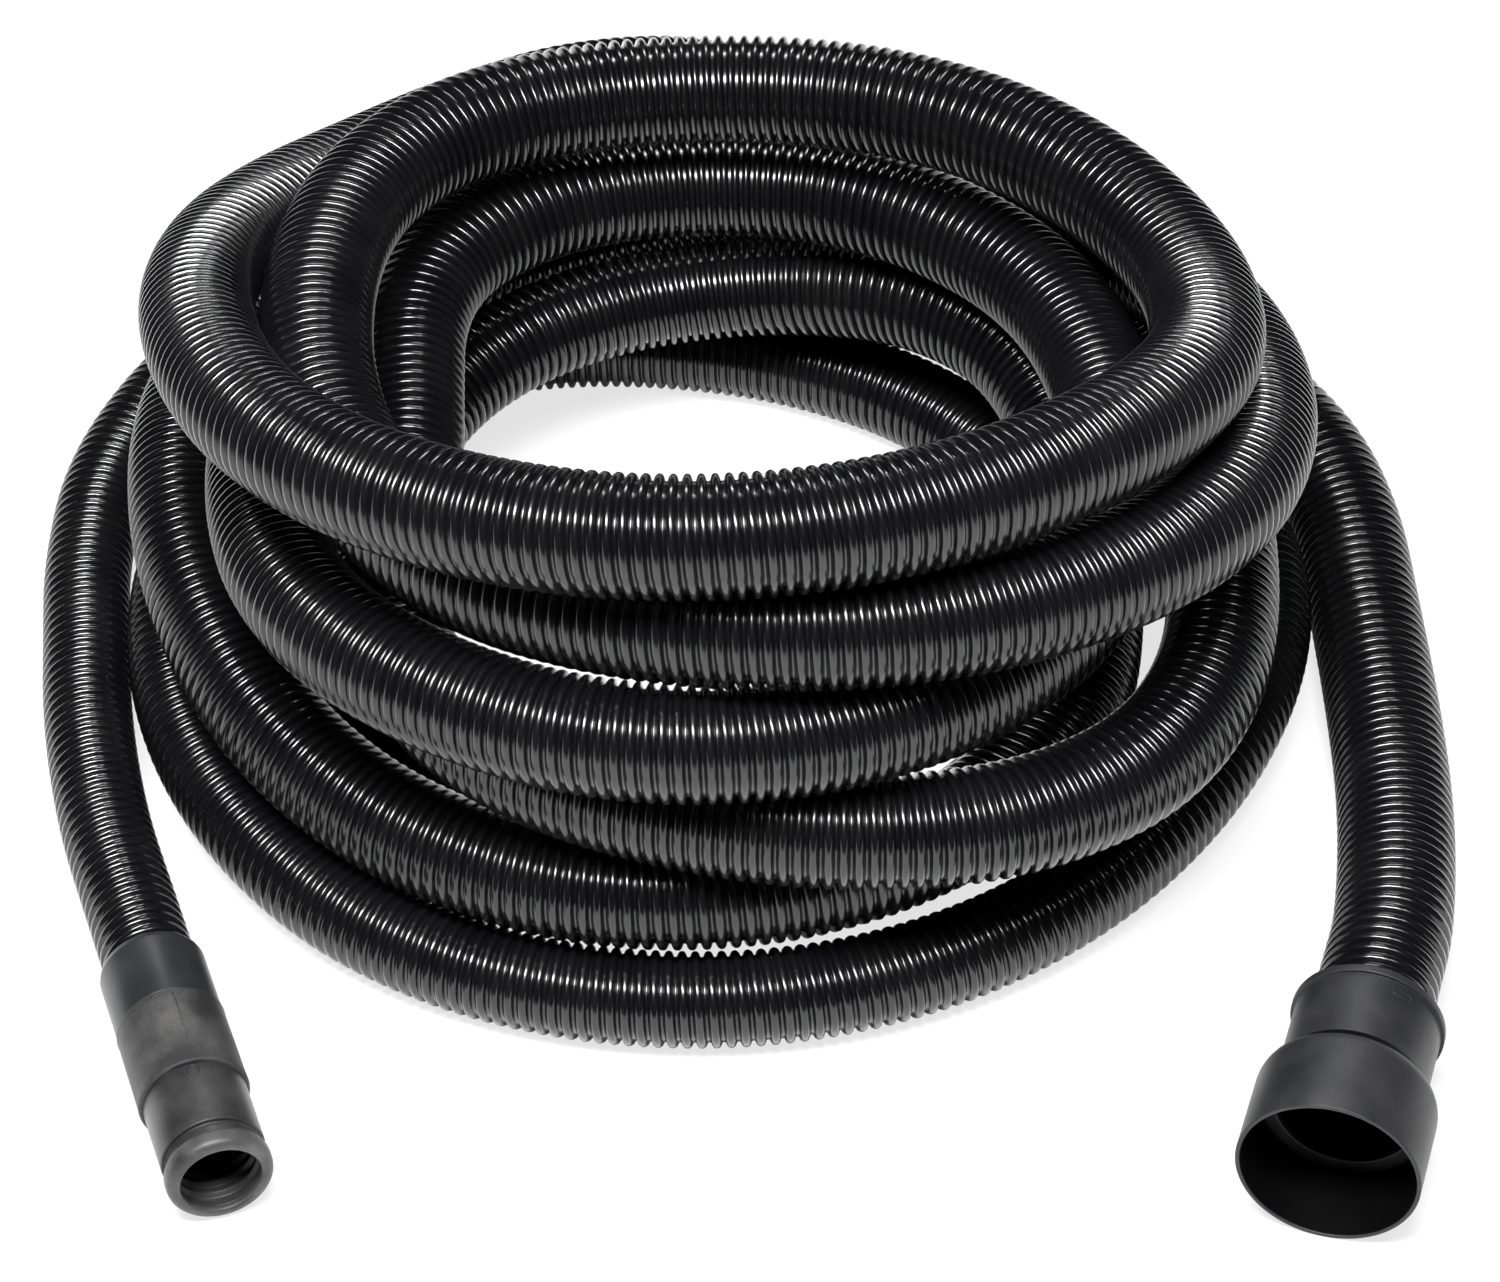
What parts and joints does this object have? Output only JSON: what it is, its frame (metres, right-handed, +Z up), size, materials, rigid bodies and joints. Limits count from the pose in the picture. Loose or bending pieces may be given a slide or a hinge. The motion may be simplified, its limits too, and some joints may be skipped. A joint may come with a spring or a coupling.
{
  "type": "vacuum hose",
  "caption": "Corrugated black vacuum hose in a loose pile of turns, thinner at one end, with a slim turning tool cuff and a wide turning machine cuff.",
  "frame": {"origin": "on the floor under the middle of the whole part's box", "axes": "+Z up, +X to the right and -Y towards the viewer, with both cuffs at the front"},
  "size_m": [0.5132, 0.5509, 0.2352],
  "materials": {
    "hose": "glossy",
    "collar": "satin",
    "sleeve_rubber": "matt, dusty",
    "nozzle": "satin",
    "lip_rubber": "matt",
    "shell": "satin",
    "inner_plastic": "satin",
    "spring_wire": "plain"
  },
  "bodies": {
    "hose": {"hose_coil": "hose", "tool_tail": "hose", "machine_tail": "hose", "tool_bush": "inner_plastic", "machine_bush": "inner_plastic", "machine_snap_ring": "spring_wire"},
    "tool_cuff": {"tool_collar": "collar", "tool_snap_ring": "spring_wire", "tool_sleeve": "sleeve_rubber", "tool_nozzle": "nozzle", "tool_lip": "lip_rubber"},
    "machine_cuff": {"machine_shell": "shell", "machine_stop_ring": "inner_plastic"}
  },
  "joints": [
    {"name": "tool_cuff_swivel", "type": "hinge", "parent": "hose", "child": "tool_cuff", "pos_m": [-0.19621, -0.16303, 0.01875], "axis": [0.309, -0.9511, 0], "continuous": true},
    {"name": "machine_cuff_swivel", "type": "hinge", "parent": "hose", "child": "machine_cuff", "pos_m": [0.21277, -0.19894, 0.0305], "axis": [-0.2756, -0.9613, 0], "continuous": true}
  ]
}
